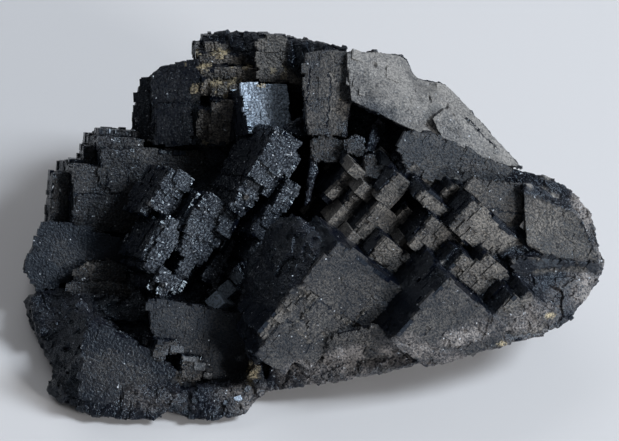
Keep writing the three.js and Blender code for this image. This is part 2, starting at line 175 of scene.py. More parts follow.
# Each crystal's own frame in the growth frame (mm, degrees), and how far its faces reach.
crystals = {
    "frontRight": dict(at=(27.4, -21.3, 49.1), turn=-39, lean=30, nod=8, reach=12.5),
    "checkerboard": dict(at=(24, -2.5, 42), turn=-39, lean=30, nod=8, reach=40),
    "front": dict(at=(5.5, -14.5, 49), turn=-36, lean=30, nod=8, reach=30),
    "left": dict(at=(-34, 8, 17), turn=-2, lean=18, nod=5, reach=30),
    "tower": dict(at=(-29.5, 26, 18), turn=0, lean=-14, nod=4, reach=15),
    "ledges": dict(at=(-19, 29, 21), turn=0, lean=8, nod=20, reach=18),
    "mirror": dict(at=(-9, 25.5, 25), turn=2, lean=26, nod=-12, reach=12),
    "shingles": dict(at=(-20, 0.5, 33), turn=-33, lean=24, nod=-10, reach=35),
    "buds": dict(at=(-24.5, -28.5, 42), turn=-8, lean=18, nod=6, reach=12),
    "rearLeft": dict(at=(-30, 22, 0), turn=-12, lean=-12, nod=-122, reach=45),
    "rearRight": dict(at=(25, 15, 0), turn=-14, lean=-36, nod=-116, reach=45),
    "rearFlank": dict(at=(45, -5, 20), turn=-30, lean=-62, nod=-112, reach=30),
}
# Flat-faced lumps: a point of the face, how it falls away in x and y, the turn of its fine structure.
lumps = {
    "corner": dict(at=(-49, -4.5, 24), slope=(-0.21, 0.1), turn=-8, reach=16),
    "apron": dict(at=(-22.5, -22.5, 39), slope=(-0.26, 0.1), turn=-6, reach=16),
    "foot": dict(at=(-38.5, -29.5, 45), slope=(-0.14, 0.12), turn=-20, reach=16),
    "backRight": dict(at=(24, 20, 32), slope=(-0.64, -0.79), turn=-20, reach=30),
    "backRightStep": dict(at=(29.5, 20, 30.5), slope=(-0.62, -0.37), turn=-30, reach=20),
    "backMiddle": dict(at=(3.5, 27.5, 31), slope=(-0.16, -0.26), turn=-3, reach=16),
    "crown": dict(at=(30, 15, 36), slope=(-0.35, 0.13), turn=-30, reach=20),
    "towerFace": dict(at=(-29.5, 26, 18), slope=(0.26, 0.05), turn=2, reach=14),
    "towerSide": dict(at=(-35.5, 25, 13.5), slope=(0.32, 0.05), turn=2, reach=12),
    "crest": dict(at=(-5.5, 35, 20), slope=(-0.21, -0.1), turn=0, reach=10),
    "rightTop": dict(at=(38, 5.5, 39.5), slope=(-0.36, 0.4), turn=-35, reach=14),
    "rightProud": dict(at=(50, 0.5, 39.5), slope=(-0.39, 0.28), turn=-35, reach=16),
    "rightLow": dict(at=(50.5, -9.5, 37), slope=(-0.36, 0.71), turn=-35, reach=16),
    "rimLump": dict(at=(10.5, -24.5, 45.5), slope=(0, 0.66), turn=-20, reach=12),
    "pitBlock": dict(at=(3.5, 16.5, 33), slope=(-0.15, -0.21), turn=-5, reach=7),
    "chipHigh": dict(at=(9, 17, 34.5), slope=(-0.21, -0.1), turn=10, reach=5),
    "chipMid": dict(at=(12, 13.5, 37), slope=(-0.38, -0.22), turn=10, reach=5),
    "chipLow": dict(at=(13, 11.5, 37.5), slope=(-0.11, -0.38), turn=10, reach=5),
    "cornerStep": dict(at=(-44, -10, 25), slope=(-0.2, 0), turn=-8, reach=9),
    "cornerFoot": dict(at=(-46.5, -12.5, 27.5), slope=(-0.21, -0.1), turn=-8, reach=10),
}
# The finish of the faces: frost is the pale etched bloom, bead the glossy cobbled growth, satin a duller
# gloss with a painted bluish sheen that stands for a reflection, matte a dull gloss without bloom, blocks
# the share of small crystals on them, blockSize half their side in mm, relief how far they stand out.
usualFinish = dict(frost=0.2, bead=0.2, satinAndPaintedSheen=0.0, matte=0.0, blocks=0.6, blockSize=0.8, relief=0.7)
finishes = {
    "frontRight": dict(frost=0.175, matte=0.8, bead=0.0, blocks=0.5, blockSize=1.6, relief=0.5),
    "checkerboard": dict(frost=0.42, bead=0.15, blocks=0.8, blockSize=1.3, relief=1.5),
    "front": dict(frost=0.145, matte=0.8, bead=0.0, blocks=0.5, blockSize=1.6, relief=0.5),
    "left": dict(frost=0.135, satinAndPaintedSheen=0.015, bead=0.45, blocks=1.0, blockSize=0.9, relief=0.6),
    "tower": dict(frost=0.04, bead=0.3, satinAndPaintedSheen=0.01, blocks=0.35, blockSize=0.8, relief=0.3),
    "ledges": dict(frost=0.45, bead=0.6, blocks=1.4, blockSize=0.55, relief=1.0),
    "mirror": dict(frost=0.03, bead=0.8, satinAndPaintedSheen=1.15, blocks=0.5, blockSize=1.2, relief=0.4),
    "shingles": dict(frost=0.075, bead=1.0, satinAndPaintedSheen=0.095, blocks=0.6, blockSize=0.75, relief=0.45),
    "buds": dict(frost=0.2, bead=0.4, blocks=1.2, blockSize=0.6, relief=0.8),
    "rearLeft": dict(frost=0.15),
    "rearRight": dict(frost=0.2),
    "rearFlank": dict(frost=0.2),
    "corner": dict(frost=0.018, bead=0.15, matte=0.48, blocks=0.6, relief=0.5),
    "apron": dict(frost=0.062, bead=0.1, matte=0.78, blocks=0.6, relief=0.5),
    "foot": dict(frost=0.02, bead=0.2, matte=0.3, blocks=0.5, relief=0.5),
    "backRight": dict(frost=0.68, bead=0.0, satinAndPaintedSheen=0.06, blocks=0.12, blockSize=1.6, relief=0.3),
    "backRightStep": dict(frost=0.66, bead=0.0, satinAndPaintedSheen=0.06, blocks=0.12, blockSize=1.6, relief=0.3),
    "backMiddle": dict(frost=0.2, bead=0.0, blocks=0.4, blockSize=1.6, relief=0.5),
    "crown": dict(frost=0.125, matte=0.6, blocks=0.8, relief=0.6),
    "towerFace": dict(frost=0.04, bead=0.3, satinAndPaintedSheen=0.01, blocks=0.4, relief=0.5),
    "towerSide": dict(frost=0.04, bead=0.3, satinAndPaintedSheen=0.01, blocks=0.4, relief=0.5),
    "crest": dict(frost=0.4, blocks=0.5, relief=0.6),
    "rightTop": dict(frost=0.24, matte=0.6, blocks=0.7, blockSize=1.2, relief=0.5),
    "rightProud": dict(frost=0.28, matte=0.6, blocks=0.4, blockSize=1.4, relief=0.4),
    "rightLow": dict(frost=0.05, matte=0.5, blocks=0.6, blockSize=1.2, relief=0.4),
    "rimLump": dict(frost=0.24, bead=0.1, relief=0.5),
    "pitBlock": dict(frost=0.15, blocks=1.5, blockSize=0.4),
    "chipHigh": dict(frost=0.2, blocks=2.0, blockSize=0.4),
    "chipMid": dict(frost=0.2, blocks=2.0, blockSize=0.4),
    "chipLow": dict(frost=0.2, blocks=2.0, blockSize=0.4),
    "cornerStep": dict(frost=0.12, blocks=1.0, blockSize=0.5),
    "cornerFoot": dict(frost=0.12, blocks=1.0, blockSize=0.5),
}
for lump in lumps.values():
    # A face that falls by slope has the normal (-slope x, -slope y, 1): lean and nod are read from it.
    normal = np.array([-lump["slope"][0], -lump["slope"][1], 1.0])
    normal = turnZ(-lump["turn"]) @ (normal / np.linalg.norm(normal))
    lump["nod"] = -math.degrees(math.asin(normal[1]))
    lump["lean"] = math.degrees(math.atan2(normal[0], normal[2]))
crystals.update(lumps)
names = list(crystals)
firstLump = len(names) - len(lumps)
turns = np.array([crystalTurn(crystal) for crystal in crystals.values()])
places = [turnX(growthLean) @ np.array(crystal["at"]) for crystal in crystals.values()]
seats = np.array(places) + growthOrigin
reaches = np.array([crystal["reach"] for crystal in crystals.values()])

cluster = {
    "voxel": 0.0003,  # grid that the solid is first laid on, in m
    "weld": 1e-6,  # m, corners nearer than this are one
    "cutterDepth": 0.4,  # m, more than the specimen's size
    "halves": {"Left": (-100.0, 1.2), "Right": (-1.2, 100.0)},  # mm along x; they overlap a little
    "cutDive": (0.7, 0.8),  # mm from the cut where the skin dives, and by how much for each mm
    "triangles": 190000,  # what is kept of each half
    "faceMatch": 2.0,  # degrees a face may be off its crystal's frame
    "rounding": 3,  # grid steps over which a rounded edge takes its neighbours' face
    "mosaic": 0.10,  # mm, height of the growth mosaic on the crystals' tops
    "mosaicSides": ((4.6, 3.9), (1.7, 1.4)),  # mm, sides of its broad and of its fine blocks
    "mosaicFine": 0.8,  # how high the fine blocks are, next to the broad ones
    "groove": 0.12,  # mm, depth between the broad blocks
    "grooveWidth": 0.05,  # share of a block
    "bead": 0.26,  # mm, height of the cobbled growth
    "cobbleSides": (1.2, 0.95),  # mm
    "layers": 0.16,  # mm, steps of the growth layers on the walls
    "layerSides": (3.5, 0.85),  # mm, length and thickness
    "layerWaves": (4.0, 6.0),  # mm along and across the layers
    "fracture": 0.6,  # mm, height of the facets on broken surfaces
    "facetSizes": (3.4, 1.5),  # mm
    "facetFine": 0.55,  # how high the small facets are, next to the large ones
    "grain": 0.03,  # mm
    "grainSize": 0.55,  # mm
    "wear": 0.14,  # mm taken off sharp edges
    "wearSize": 1.3,  # mm, patches that are worn more or less
    "flatBase": (0.15, 0.6),  # mm above the table where relief begins, and how many more until it is full
    "margin": 0.4,  # mm that relief may stand past the solid's box
    # walls keep almost no frost, which also paints them dark as shade would
    "wallFrostAndShade": 0.03,  # share of the frost that walls take
    "frostFade": (6, 0.9),  # grid steps that frost spreads over broken bands, and its share left by each
    "dust": (0.025, 0.4),  # on broken surfaces, and how much more along the lower edge
    "patchDepth": 5,  # mm out, where patches and hollows end
    "sharpAngle": 30,  # degrees
}


def neighbourMean(edges, count):
    # Gives a function for the mean over each vertex's neighbours, worked out with bincount over the edges.
    degree = np.bincount(edges.ravel(), minlength=count)
    first, second = edges.T

    def mean(values):
        total = np.bincount(first, values[second], count) + np.bincount(second, values[first], count)
        return total / np.maximum(degree, 1)

    return mean


def fineMesh(node, voxel, span):
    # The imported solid, merged, cut to the part between two planes across x, and laid on a fine even grid,
    # so that relief can be worked into it.
    source = node.data.copy()
    shell = bmesh.new()
    shell.from_mesh(source)
    bmesh.ops.remove_doubles(shell, verts=shell.verts, dist=cluster["weld"])
    shell.to_mesh(source)
    shell.free()
    rough = bpy.data.objects.new("clusterRough", source)
    bpy.context.scene.collection.objects.link(rough)
    block = bmesh.new()
    bmesh.ops.create_cube(block, size=1.0)
    width = (span[1] - span[0]) * mm
    depth = cluster["cutterDepth"]
    bmesh.ops.scale(block, vec=(width, depth, depth), verts=block.verts)
    bmesh.ops.translate(block, vec=(span[0] * mm + width / 2, 0, 0), verts=block.verts)
    cutter = bpy.data.objects.new("cutter", bpy.data.meshes.new("cutter"))
    block.to_mesh(cutter.data)
    block.free()
    bpy.context.scene.collection.objects.link(cutter)
    cut = rough.modifiers.new("cut", "BOOLEAN")
    cut.operation = "INTERSECT"
    cut.object = cutter
    remesh = rough.modifiers.new("grid", "REMESH")
    remesh.mode = "VOXEL"
    remesh.voxel_size = voxel
    fine = bpy.data.meshes.new_from_object(rough.evaluated_get(bpy.context.evaluated_depsgraph_get()))
    bpy.data.objects.remove(rough)
    bpy.data.objects.remove(cutter)
    return fine


def readMesh(mesh):
    # Places (mm), normals and edges as arrays.
    count = len(mesh.vertices)
    points = np.empty(count * 3, np.float32)
    mesh.vertices.foreach_get("co", points)
    normals = np.empty(count * 3, np.float32)
    mesh.vertex_normals.foreach_get("vector", normals)
    edges = np.empty(len(mesh.edges) * 2, np.int32)
    mesh.edges.foreach_get("vertices", edges)
    return (points.reshape(-1, 3).astype(np.float64) * perMetre, normals.reshape(-1, 3).astype(np.float64),
            edges.reshape(-1, 2))


def matchFaces(points, normals, edges):
    # Which crystal and which of its axes each vertex's face belongs to, from the direction it faces; -1 is
    # broken. Lumps have a top only.
    owner = np.full(len(points), -1)
    axis = np.zeros(len(points), int)
    best = np.full(len(points), math.cos(math.radians(cluster["faceMatch"])))
    for index in range(len(names)):
        near = np.linalg.norm(points - seats[index], axis=1) < reaches[index]
        along = abs(normals[near] @ turns[index])
        if index >= firstLump:
            along = along * [0, 0, 1]
        pick = along.argmax(1)
        fit = along.max(1)
        chosen = np.flatnonzero(near)[fit > best[near]]
        owner[chosen] = index
        axis[chosen] = pick[fit > best[near]]
        best[chosen] = fit[fit > best[near]]
    # Vertices on rounded edges take what a neighbour has.
    for _ in range(cluster["rounding"]):
        without = owner < 0
        for taker, giver in (edges.T, edges.T[::-1]):
            chosen = np.flatnonzero(without[taker] & ~without[giver])
            owner[taker[chosen]] = owner[giver[chosen]]
            axis[taker[chosen]] = axis[giver[chosen]]
    return owner, axis


def insideFace(face, edges, step, reach=7):
    # How far each vertex lies inside its own face, in mm: the border spreads by one edge a round, and each
    # round that has not reached a vertex adds one grid step.
    border = np.zeros(len(face))
    border[edges[face[edges[:, 0]] != face[edges[:, 1]]].ravel()] = 1
    mean = neighbourMean(edges, len(face))
    inside = np.zeros(len(face))
    for _ in range(reach):
        inside += (border == 0) * step
        border = np.where(mean(border) > 0, 1.0, border)
    return inside


def cellPlace(points, index, axis):
    # A point's place on its face: the two coordinates of its crystal's frame that run along it, in mm.
    local = np.einsum("nij,ni->nj", turns[index], points - seats[index])
    u = np.where(axis == 0, local[:, 1], local[:, 0])
    v = np.where(axis == 2, local[:, 1], local[:, 2])
    return u, v


def cellTag(index, axis):
    # A number of its own for each axis of each crystal, so that no two faces share a pattern.
    return index * 7.0 + axis * 2.0


def finish(kind):
    # One kind of finish for all crystals, in the order of their names.
    return np.array([finishes[name].get(kind, usualFinish[kind]) for name in names])


def reliefHeight(points, skin):
    # How far each point moves out along its normal, in mm.
    u, v, index, grown, top, rough = (skin[name] for name in ("u", "v", "index", "grown", "top", "rough"))
    # Tops: broad square growth blocks with finer ones on them, parted by fine grooves.
    (broadU, broadV), (fineU, fineV) = cluster["mosaicSides"]
    broad, broadGap = squareCells(u / broadU, v / broadV, seed=3)
    fine, _ = squareCells(u / fineU, v / fineV, seed=11)
    height = np.where(top, cluster["mosaic"] * (broad + cluster["mosaicFine"] * fine), 0)
    grooved = top & (broadGap < cluster["grooveWidth"])
    height -= np.where(grooved, cluster["groove"] * (1 - rough), 0)
    # Cobbled growth: pillows with dark seams between them.
    cobbleU, cobbleV = cluster["cobbleSides"]
    pillow, pillowGap = squareCells(u / cobbleU, v / cobbleV, seed=23, wander=0.9)
    height += skin["bead"] * cluster["bead"] * (np.minimum(pillowGap * 2.2, 1) - 0.7 + 1.2 * pillow)
    # Walls: growth layers, each standing a little in or out, broken off along the wall.
    length, thickness = cluster["layerSides"]
    alongWave, acrossWave = cluster["layerWaves"]
    wavy = smoothNoise(np.stack([u / alongWave, v / acrossWave, index * 3.7], 1), seed=5)
    layer = np.floor(v / thickness + 0.5 * wavy).astype(np.int64)
    stretch = np.floor(u / length + 3 * scatter(layer, index, seed=8)).astype(np.int64)
    height += np.where(skin["wall"], cluster["layers"] * (scatter(layer, stretch, index, seed=9) - 0.6), 0)
    # Broken surfaces: facets at two sizes.
    torn = np.flatnonzero(~grown | (rough > 0.05))
    large, small = cluster["facetSizes"]
    facets = brokenFacets(points[torn], large, seed=31)
    facets = facets + cluster["facetFine"] * brokenFacets(points[torn], small, seed=47)
    deep = np.where(grown[torn], rough[torn] * 0.8, np.clip(skin["inside"][torn] / 1.2, 0.25, 1))
    height[torn] += cluster["fracture"] * deep * facets
    # Grain on everything, and worn edges.
    height += cluster["grain"] * smoothNoise(points / cluster["grainSize"], seed=51)
    worn = np.clip(0.3 + 1.4 * smoothNoise(points / cluster["wearSize"], seed=61), 0, 1)
    height -= cluster["wear"] * np.clip(skin["sharp"], 0, 1) * worn
    return height


def changed(values, points, patches):
    # Values multiplied by each patch's change, as far as its share goes.
    for share, change in patchShares(points, patches):
        values = values * (1 + share * (change - 1))
    return values


def surfaceMasks(points, normals, skin, mean):
    # From 0 to 1 for each point: how much of each finish it has.
    index, top, rough = skin["index"], skin["top"], skin["rough"]
    # The frost fades over the narrow broken bands between the faces.
    # Tops take the frost, walls almost none: real bloom, which also paints the walls dark as if shaded.
    frost = finish("frost")[index] * np.where(top, 1.0, np.where(skin["wall"], cluster["wallFrostAndShade"], 0.0))
    torn = ~skin["grown"]
    spread, weight = np.where(torn, 0, frost), np.where(torn, 0.0, 1.0)
    rounds, passedOn = cluster["frostFade"]
    for _ in range(rounds):
        spread, weight = mean(spread) * passedOn, mean(weight) * passedOn
        spread, weight = np.where(torn, spread, frost), np.where(torn, weight, 1.0)
    # The patches change the frost; some of them paint light and shade instead.
    frost = changed(np.where(torn, spread * 0.8, frost), points, frostLightAndShadePatches) * (1 - 0.85 * rough)
    broken = np.maximum(np.where(torn, 1 - weight, 0.0), rough)
    everywhere, lowerEdge = cluster["dust"]
    dust = broken * (everywhere + lowerEdge * rough)
    for share, change in patchShares(points, dustPatches):
        dust = dust + broken * share * change
    # Satin: a duller gloss, and a painted bluish sheen on the tops that stands for a reflection.
    satinAndPaintedSheen = changed(finish("satinAndPaintedSheen")[index] * top, points, paintedSheenPatches)
    facingOut = (normals @ turnX(growthLean))[:, 2] > 0.1
    return {"frost": frost, "broken": broken, "dust": np.minimum(dust, 1), "bead": skin["bead"],
            "wall": skin["wall"].astype(float), "satinAndPaintedSheen": satinAndPaintedSheen, "matte": finish("matte")[index] * top,
            "deposit": depositMask(points) * facingOut}


def clusterRelief(points, normals, edges, step, span):
    # The moved points, their masks and pattern coordinates, and what the growth blocks need.
    owner, axis = matchFaces(points, normals, edges)
    grown = owner >= 0
    index = np.maximum(owner, 0)
    u, v = cellPlace(points, index, axis)
    wall = grown & (axis != 2)
    mean = neighbourMean(edges, len(points))
    bend = sum((points[:, k] - mean(points[:, k])) * normals[:, k] for k in range(3))
    bend = 0.5 * bend + 0.5 * mean(bend)
    rough = np.zeros(len(points))
    for share, depth in patchShares(points, roughPatches):
        rough = np.maximum(rough, share * depth)
    skin = dict(index=index, grown=grown, top=grown & (axis == 2), wall=wall, u=u, v=v, rough=rough,
                bead=finish("bead")[index] * np.where(wall, 0.5, grown),
                sharp=np.clip(bend / (0.1 * step), -1, 1),
                inside=insideFace(np.where(grown, index * 3 + axis, -1), edges, step))

    # The base stays flat, and the edge of the cut dives under the other half's skin.
    begin, over = cluster["flatBase"]
    height = reliefHeight(points, skin) * np.clip((points[:, 2] - begin) / over, 0, 1)
    toCut = np.minimum(points[:, 0] - span[0], span[1] - points[:, 0])
    reach, dive = cluster["cutDive"]
    height = np.where(toCut < reach, height - dive * (reach - toCut), height)
    moved = points + normals * height[:, None] + dentShift(points)
    low, high = cadLow * perMetre, cadHigh * perMetre
    moved = np.clip(moved, low - cluster["margin"], high + cluster["margin"])
    moved[:, 2] = np.maximum(moved[:, 2], low[2])
    masks = surfaceMasks(points, normals, skin, mean)
    faces = dict(owner=owner, axis=axis, inside=skin["inside"], normals=normals)
    return moved, masks, np.stack([u, v, cellTag(index, axis)], 1), faces


# Spots in the growth frame: middle and half-size across and up (mm), the turn (degrees), and the change
# there. The frost is multiplied by the change. Some spots paint light and shade: the one at (4.4, 28.0)
# lightens a strip that lies in the shadow of the higher face to its right, those at (12.0, 20.0), (8.3,
# 28.0) and (17.5, 22.8) paint shade on the left and lower left of the upper right face, and the one at
# (25.2, 18.5) paints a highlight along its ridge.
frostLightAndShadePatches = [
    (12.0, 20.0, 6.0, 7.0, 20, 0.45), (2.0, 36.0, 5.0, 3.0, 0, 0.8), (31.0, 15.5, 4.5, 5.5, -35, 0.8),
    (47.0, -3.0, 4.0, 8.0, 0, 1.15), (-1.0, -22.0, 8.0, 7.0, 30, 1.25), (30.0, -17.0, 8.0, 4.0, 20, 1.25),
    (36.0, 3.0, 6.0, 5.0, -30, 1.2), (-44.0, 2.0, 9.0, 5.0, 0, 0.8), (8.3, 28.0, 4.6, 10.0, 0, 0.75),
    (4.4, 28.0, 1.9, 9.0, 0, 1.9), (25.2, 18.5, 8.0, 1.1, -27, 1.3), (28.0, 19.7, 2.6, 3.0, -30, 0.7),
    (17.5, 22.8, 7.0, 2.6, -20, 0.74), (27.0, 27.0, 7.0, 2.0, -45, 1.12),
    (-38.0, -30.4, 8.0, 5.0, -22, 5.5), (-50.0, -5.6, 5.5, 3.4, -15, 3.6),
    (-22.0, -21.0, 6.0, 5.0, -30, 1.3),
]
# The satin, and with it the painted sheen, is multiplied by the change: the one spot takes the painted
# sheen down on the lit left part of the glossy face, to even it with the shade on its right part.
paintedSheenPatches = [
    (-11.2, 24.5, 2.2, 8.0, 0, 0.42),
]
# The change is added to the dust on broken surfaces.
dustPatches = [
    (-33.0, -34.0, 10.0, 3.0, -10, 0.1), (-13.0, -34.0, 6.0, 3.0, 0, 0.25), (56.5, -8.0, 4.0, 10.0, 0, 0.4),
    (57.0, 6.0, 4.0, 6.0, 0, 0.6), (22.0, -28.0, 26.0, 4.0, 14, 0.35),
]
# Broken off along the lower edge, by the share given.
roughPatches = [
    (-1.8, -28.6, 5.0, 2.7, 12, 1.0), (6.0, -26.2, 6.0, 2.7, 14, 1.0), (18.0, -23.6, 7.0, 2.7, 12, 1.0),
    (32.0, -20.9, 8.0, 2.6, 14, 1.0), (44.0, -17.5, 7.0, 2.8, 20, 1.0), (51.5, -13.5, 5.0, 3.0, 35, 0.45),
]


def spotPlace(seen, across, up, halfAcross, halfUp, turn=0):
    # Distances along and aside of a spot's middle, each over its half-size.
    c, s = math.cos(math.radians(turn)), math.sin(math.radians(turn))
    along = ((seen[:, 0] - across) * c + (seen[:, 1] - up) * s) / halfAcross
    aside = ((seen[:, 1] - up) * c - (seen[:, 0] - across) * s) / halfUp
    return along, aside


def patchShares(points, patches):
    # Each patch's share of the points and its change: all at its middle, none beyond its ragged edge.
    seen = toGrowth(points)
    ragged = 0.35 * layeredNoise(points / 2.5, 2, seed=83)
    inFront = seen[:, 2] > cluster["patchDepth"]
    for *spot, change in patches:
        along, aside = spotPlace(seen, *spot)
        yield np.clip((1.25 - np.hypot(along, aside) + ragged) * 1.6, 0, 1) * inFront, change


# Hollows: middle, half-size and turn as above, and how far the middle moves across, up and out, in mm.
dents = [
    (23.0, 32.8, 6.0, 4.5, -50, (-1.2, -1.9, 0.0)), (12.8, 33.6, 0.8, 0.8, 0, (0, 0, -0.8)),
    (15.3, 33.1, 0.6, 0.9, 0, (0, 0, -0.7)), (24.3, 26.7, 0.4, 1.2, 10, (0, 0, -0.8)),
    (27.8, 25.1, 0.5, 1.2, -20, (0, 0, -0.8)), (18.0, 23.0, 8.0, 2.6, -20, (0, 0, -1.3)),
    (28.2, 19.6, 3.4, 2.4, -30, (0, 0, -1.1)), (25.0, 33.0, 1.5, 6.0, 0, (0, 0, -0.6)),
    (-2.0, -18.0, 1.0, 6.0, 35, (0, 0, -0.4)), (1.0, -13.0, 6.0, 0.8, -25, (0, 0, -0.35)),
]
# Steps made lower: what stands above a plane sinks towards it. Middle and half-size as above, the share
# that is taken off, and the plane by its height at the middle and its slopes across and up.
lowered = [
    (7.5, 30.0, 9.0, 14.0, 0.55, (29.7, -0.16, -0.26)), (49.0, 3.0, 20.0, 13.0, 0.6, (34.5, -0.36, 0.4)),
]


def dentShift(points):
    # Each hollow pushes by the square of one less the squared distances along and aside of its middle, and
    # so does each lowered step, by its share of the height above its plane.
    seen = toGrowth(points)
    shift = np.zeros_like(seen)
    inFront = seen[:, 2] > cluster["patchDepth"]
    for *spot, move in dents:
        along, aside = spotPlace(seen, *spot)
        share = np.clip(1 - along ** 2 - aside ** 2, 0, 1) ** 2 * inFront
        shift += share[:, None] * np.array(move)
    for across, up, halfAcross, halfUp, taken, (level, slopeAcross, slopeUp) in lowered:
        along, aside = spotPlace(seen, across, up, halfAcross, halfUp)
        share = np.clip(1 - along ** 2 - aside ** 2, 0, 1) ** 2
        above = seen[:, 2] - level - slopeAcross * (seen[:, 0] - across) - slopeUp * (seen[:, 1] - up)
        shift[:, 2] -= taken * share * np.maximum(above, 0)
    return shift @ turnX(growthLean).T


# Rusty crust on the ledges: each spot's place and half-size across and up in the growth frame, in mm.
deposits = [
    (-24.8, 36.3, 0.8, 1.1), (-19.4, 36.8, 1.8, 1.0), (-22.6, 33.7, 1.3, 0.6), (-14.8, 30.6, 2.9, 0.9),
    (-20.2, 30.1, 1.8, 1.2), (-13.7, 33.6, 0.9, 1.2), (-24.4, 29.0, 0.5, 1.3), (-9.0, 31.2, 1.0, 0.5),
    (-11.4, 29.9, 2.6, 0.55), (-6.6, 29.2, 0.8, 0.5),
    (-21.6, 17.9, 0.8, 0.4), (-11.9, -29.0, 1.3, 2.2), (-26.3, 34.8, 0.5, 1.6), (-17.2, 33.4, 1.2, 0.5),
    (-7.0, 33.0, 1.4, 0.5), (-18.4, 27.6, 0.7, 0.9), (38.6, -23.2, 1.6, 0.5), (48.0, -17.6, 1.2, 0.5),
    (-0.2, 26.5, 0.35, 0.35), (5.3, 26.5, 0.35, 0.35), (3.7, 25.9, 0.3, 0.3),
]


def depositMask(points):
    # Round spots, torn at the edge by noise.
    seen = toGrowth(points)
    crusted = np.zeros(len(points))
    near = np.flatnonzero(seen[:, 2] > cluster["patchDepth"])
    ragged = 1.5 * layeredNoise(points[near] / 0.8, 2, seed=71)
    for deposit in deposits:
        along, aside = spotPlace(seen[near], *deposit)
        spot = np.clip(1.0 - (along ** 2 + aside ** 2) * 0.8 + ragged, 0, 1)
        crusted[near] = np.maximum(crusted[near], spot)
    return crusted


def giveMasks(mesh, masks, cells):
    # The finishes and the pattern coordinates, as attributes that the material reads.
    for name, values in masks.items():
        attribute = mesh.attributes.new(name, "FLOAT", "POINT")
        attribute.data.foreach_set("value", values.astype(np.float32))
    attribute = mesh.attributes.new("cells", "FLOAT_VECTOR", "POINT")
    attribute.data.foreach_set("vector", cells.astype(np.float32).ravel())


def buildHalf(side):
    # One half of the specimen, and what the growth blocks need of its own side's grid.
    span = cluster["halves"][side]
    mesh = fineMesh(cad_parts["fluorite_cluster"], cluster["voxel"], span)
    points, normals, edges = readMesh(mesh)
    moved, masks, cells, faces = clusterRelief(points, normals, edges, cluster["voxel"] * perMetre, span)
    mesh.vertices.foreach_set("co", (moved * mm).astype(np.float32).ravel())
    giveMasks(mesh, masks, cells)
    rough = bpy.data.objects.new("clusterFine", mesh)
    bpy.context.scene.collection.objects.link(rough)
    thin = rough.modifiers.new("thin", "DECIMATE")
    thin.ratio = cluster["triangles"] / (2 * len(mesh.polygons))
    thin.use_collapse_triangulate = True
    thinned = bpy.data.meshes.new_from_object(rough.evaluated_get(bpy.context.evaluated_depsgraph_get()))
    bpy.data.objects.remove(rough)
    thinned.name = "fluorite" + side
    thinned.materials.clear()
    thinned.shade_smooth()
    thinned.set_sharp_from_angle(angle=math.radians(cluster["sharpAngle"]))
    piece = bpy.data.objects.new("fluorite" + side, thinned)
    bpy.context.scene.collection.objects.link(piece)
    print(side, "half:", len(points), "grid points,", len(thinned.polygons), "triangles kept")
    own = (points[:, 0] >= 0) == (side == "Right")
    masks = {name: values[own] for name, values in masks.items()}
    faces = {name: values[own] for name, values in faces.items()}
    return piece, points[own], masks, faces


blocks = {
    "count": 7000,
    "proud": (0.06, 0.42),  # mm that a block stands out of its face
    "sunk": 0.8,  # mm
    "tilt": 0.03,  # rise over run of its top
    "longest": 1.7,  # length over width at most
    "spread": 0.38,  # how unlike in size they are
    "room": (0.95, 0.2),  # half a side is at most this share of the way to the face's edge, and these mm
    "frost": (0.75, 1.2),  # least and most frost, next to their face's
    "onWalls": 0.35,  # how common they are on walls, next to tops
    "lowest": 1.2,  # mm above the table, where they begin
    "broken": 0.3,  # none where more of the surface than this is broken
    "askew": 0.7,  # mm; where a hollow or lowered step moves the face by more, they would stand askew
    "hidden": -0.6,  # mm; there they stand this far out, below the skin
}
tableGap = 0.3  # mm between any small crystal and the table
boxCorners = ((-1, -1), (1, -1), (1, 1), (-1, 1))


def boxMesh(name, middles, first, second, out, halfFirst, halfSecond, rise, sunk):
    # One closed box for each middle: its corners are the middle, plus and minus its half-sides, at the four
    # heights of its top or sunk by the same depth.
    corners = []
    for up in (0, 1):
        for corner, (a, b) in enumerate(boxCorners):
            height = rise[corner] if up else -sunk
            corners.append(middles + first * (a * halfFirst)[:, None]
                           + second * (b * halfSecond)[:, None] + out * height[:, None])
    verts = np.stack(corners, 1).reshape(-1, 3)
    verts[:, 2] = np.maximum(verts[:, 2], tableGap)
    sides = np.array([(0, 3, 2, 1), (4, 5, 6, 7), (0, 1, 5, 4), (1, 2, 6, 5), (2, 3, 7, 6), (3, 0, 4, 7)])
    quads = (sides[None] + 8 * np.arange(len(middles))[:, None, None]).reshape(-1, 4)
    mesh = bpy.data.meshes.new(name)
    mesh.from_pydata((verts * mm).tolist(), [], quads.tolist())
    piece = bpy.data.objects.new(name, mesh)
    bpy.context.scene.collection.objects.link(piece)
    return piece, verts, np.repeat(np.arange(len(middles)), 8)


